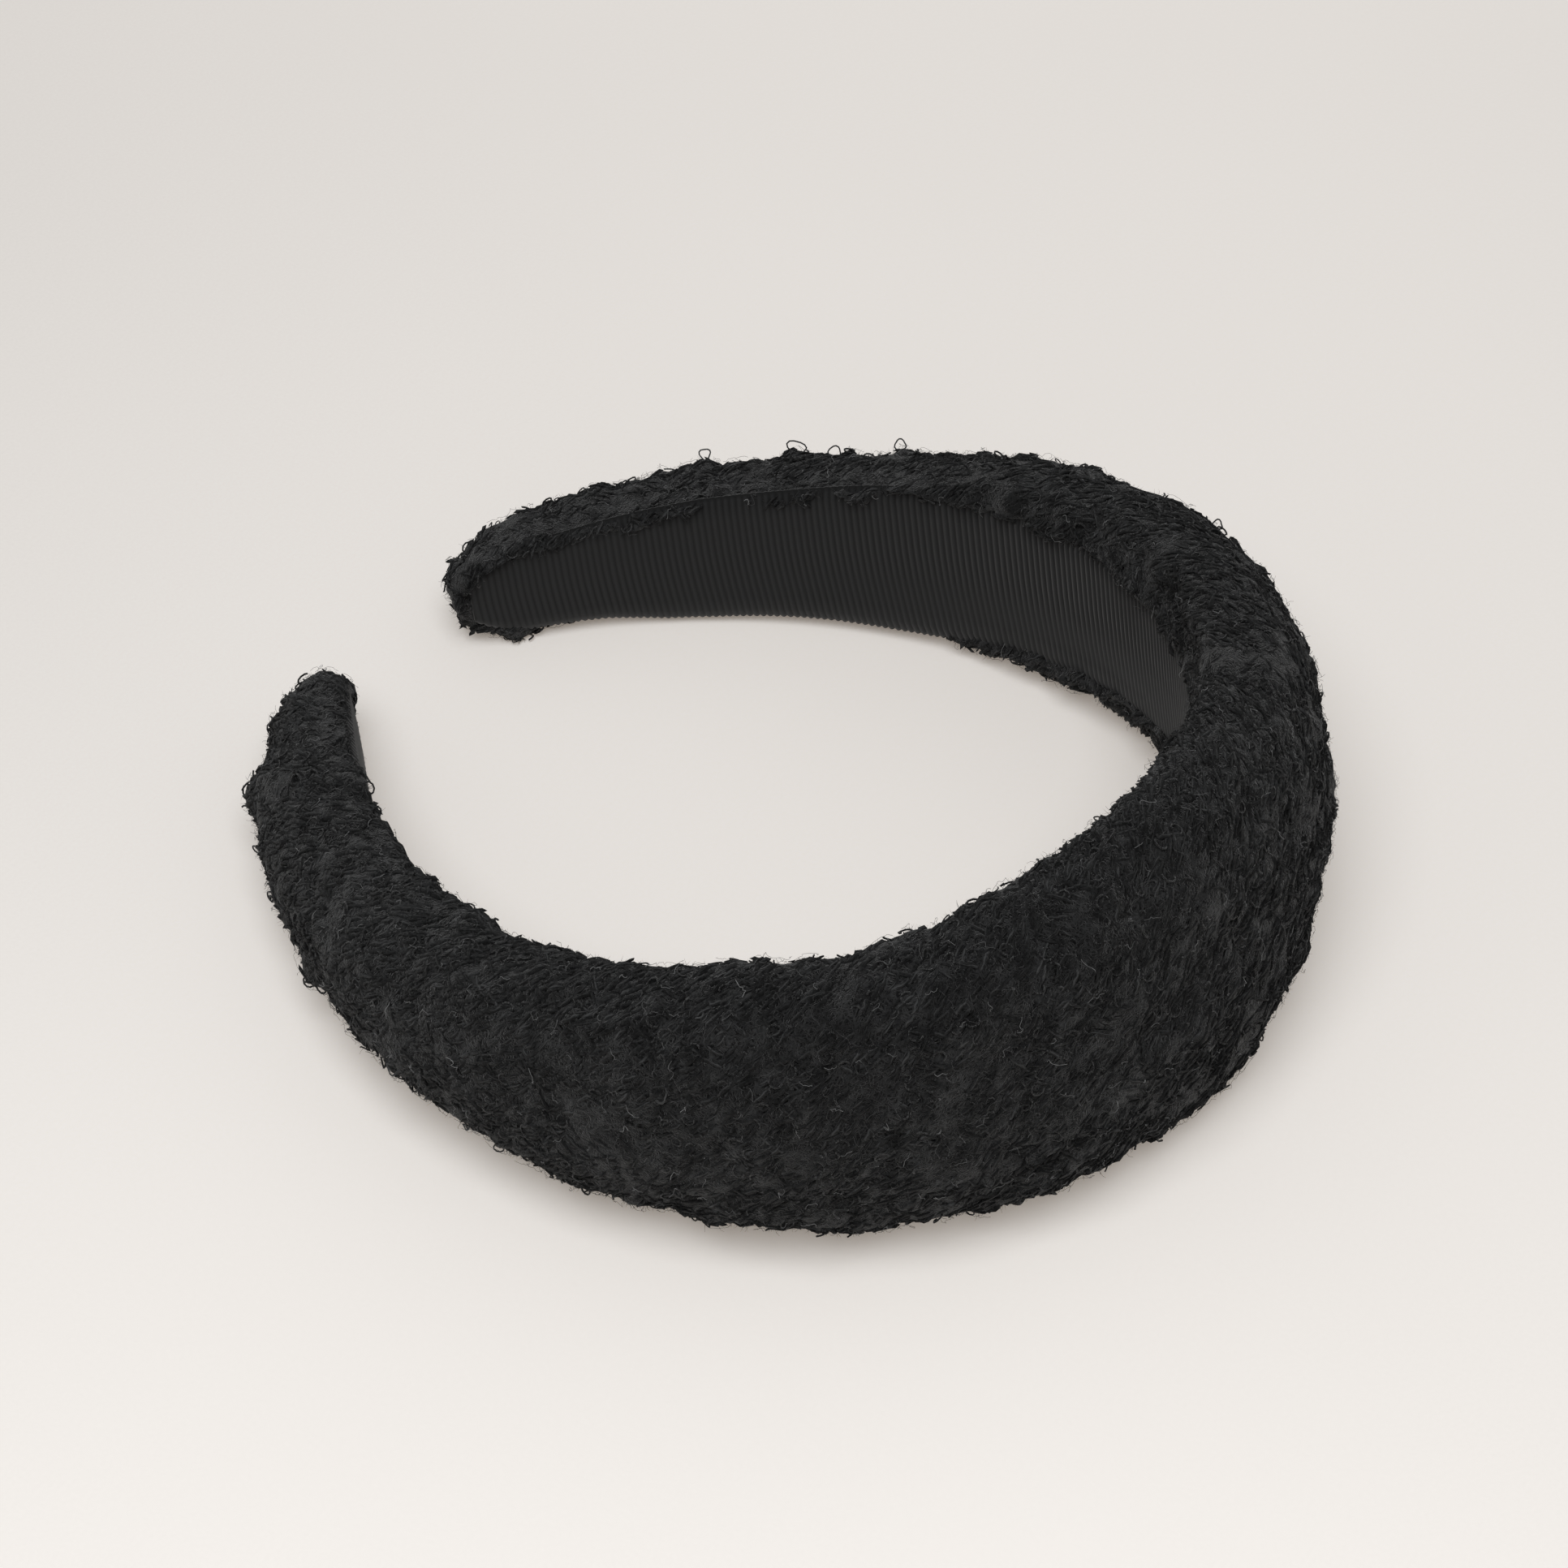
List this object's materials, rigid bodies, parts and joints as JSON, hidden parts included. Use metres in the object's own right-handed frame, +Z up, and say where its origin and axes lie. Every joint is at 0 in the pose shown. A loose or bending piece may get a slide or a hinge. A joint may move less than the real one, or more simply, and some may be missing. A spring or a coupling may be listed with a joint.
{
  "type": "padded headband",
  "caption": "Wide padded hair band covered in looped wool cloth, tapering to two rounded tips, with a cross-ribbed ribbon lining its inner face.",
  "frame": {"origin": "middle of the underside of the headband's box, on the surface that it lies on", "axes": "+Y from the crown towards the two tips, +Z up from the surface that the headband lies on, +X to the right as seen with the crown nearest; the halves mirror each other across the YZ plane"},
  "size_m": [0.154, 0.1616, 0.0578],
  "materials": {
    "looped_wool": "near-black looped wool cloth, matt, with curled fibres standing off the surface",
    "ribbed_ribbon": "near-black ribbon with fine raised cross ribs and a low satin sheen"
  },
  "bodies": {
    "root": {"padded_cover": "looped_wool", "ribbon_lining": "ribbed_ribbon"}
  },
  "joints": []
}
